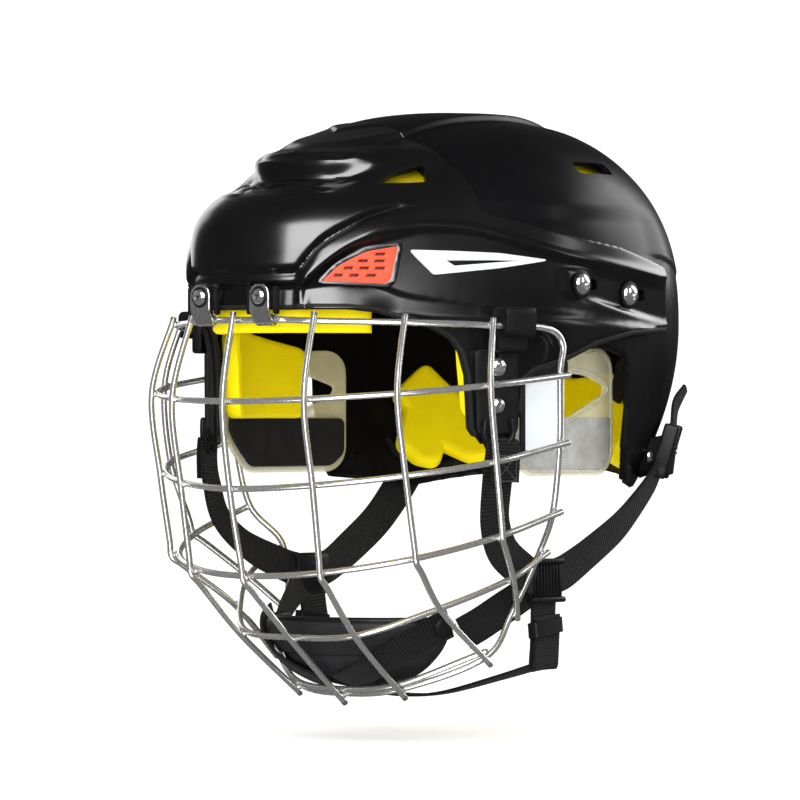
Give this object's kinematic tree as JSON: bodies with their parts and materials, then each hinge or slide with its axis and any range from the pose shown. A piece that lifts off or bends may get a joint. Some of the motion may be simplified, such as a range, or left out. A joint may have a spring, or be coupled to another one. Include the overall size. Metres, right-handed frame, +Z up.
{
  "type": "ice hockey helmet with wire face cage",
  "caption": "Ice hockey helmet with overlapping front and rear shells, a hinged wire face cage, clear ear guards, foam liner and chin straps.",
  "frame": {"origin": "the middle of the head opening at the level of the brow line, where the wearer's head holds the helmet", "axes": "+Z up, the face looks along -Y, the wearer's left is +X"},
  "size_m": [0.2238, 0.2868, 0.2868],
  "materials": {
    "shell_black": "gloss",
    "foam_yellow": "matte",
    "cup_black": "matte",
    "wire_steel": "satin",
    "screw_chrome": "gloss",
    "clip_steel": "satin",
    "clear_plastic": "gloss",
    "coral_plastic": "satin",
    "white_trim": "satin",
    "plastic_black": "satin",
    "webbing_black": "matte"
  },
  "bodies": {
    "helmet": {"anchor_screw_1_left": "screw_chrome", "anchor_screw_1_right": "screw_chrome", "anchor_screw_2_left": "screw_chrome", "anchor_screw_2_right": "screw_chrome", "chin_strap_left": "webbing_black", "chin_strap_right": "webbing_black", "ear_guard_left": "clear_plastic", "ear_guard_right": "clear_plastic", "ear_strap_left": "webbing_black", "ear_strap_right": "webbing_black", "forehead_pad": "foam_yellow", "front_clip_left": "clip_steel", "front_clip_right": "clip_steel", "front_clip_screw_left": "screw_chrome", "front_clip_screw_right": "screw_chrome", "front_shell": "shell_black", "side_accent_left": "white_trim", "side_accent_right": "white_trim", "side_clip_left": "plastic_black", "side_clip_right": "plastic_black", "side_label_left": "white_trim", "side_label_right": "white_trim", "strap_anchor_left": "plastic_black", "strap_anchor_right": "plastic_black", "strap_keeper_left": "webbing_black", "strap_keeper_right": "webbing_black", "strap_slider_left": "plastic_black", "strap_slider_right": "plastic_black", "temple_pad_left": "foam_yellow", "temple_pad_right": "foam_yellow", "under_strap": "webbing_black", "vent_mesh_left": "coral_plastic", "vent_mesh_right": "coral_plastic"},
    "rear_half": {"rear_shell": "shell_black", "crown_pad": "foam_yellow", "rear_pad": "foam_yellow", "side_pad_left": "foam_yellow", "side_pad_right": "foam_yellow", "size_screw_1_left": "screw_chrome", "size_screw_1_right": "screw_chrome", "size_screw_2_left": "screw_chrome", "size_screw_2_right": "screw_chrome", "rear_strap_left": "webbing_black", "rear_strap_right": "webbing_black", "nape_buckle_left": "plastic_black", "nape_buckle_right": "plastic_black"},
    "cage": {"cage_frame": "wire_steel", "cage_row_1": "wire_steel", "cage_row_2": "wire_steel", "cage_row_3": "wire_steel", "cage_row_4": "wire_steel", "cage_row_5": "wire_steel", "cage_upright_1_left": "wire_steel", "cage_upright_1_right": "wire_steel", "cage_upright_2_left": "wire_steel", "cage_upright_2_right": "wire_steel", "cage_upright_3_left": "wire_steel", "cage_upright_3_right": "wire_steel", "cage_upright_centre": "wire_steel", "chin_cup": "cup_black"}
  },
  "joints": [
    {"name": "cage_hinge", "type": "hinge", "parent": "helmet", "child": "cage", "pos_m": [0, -0.134, 0], "axis": [-1, 0, 0], "range_deg": [0, 85]},
    {"name": "size_slide", "type": "slide", "parent": "helmet", "child": "rear_half", "axis": [0, 1, 0], "range_m": [0, 0.01]}
  ]
}
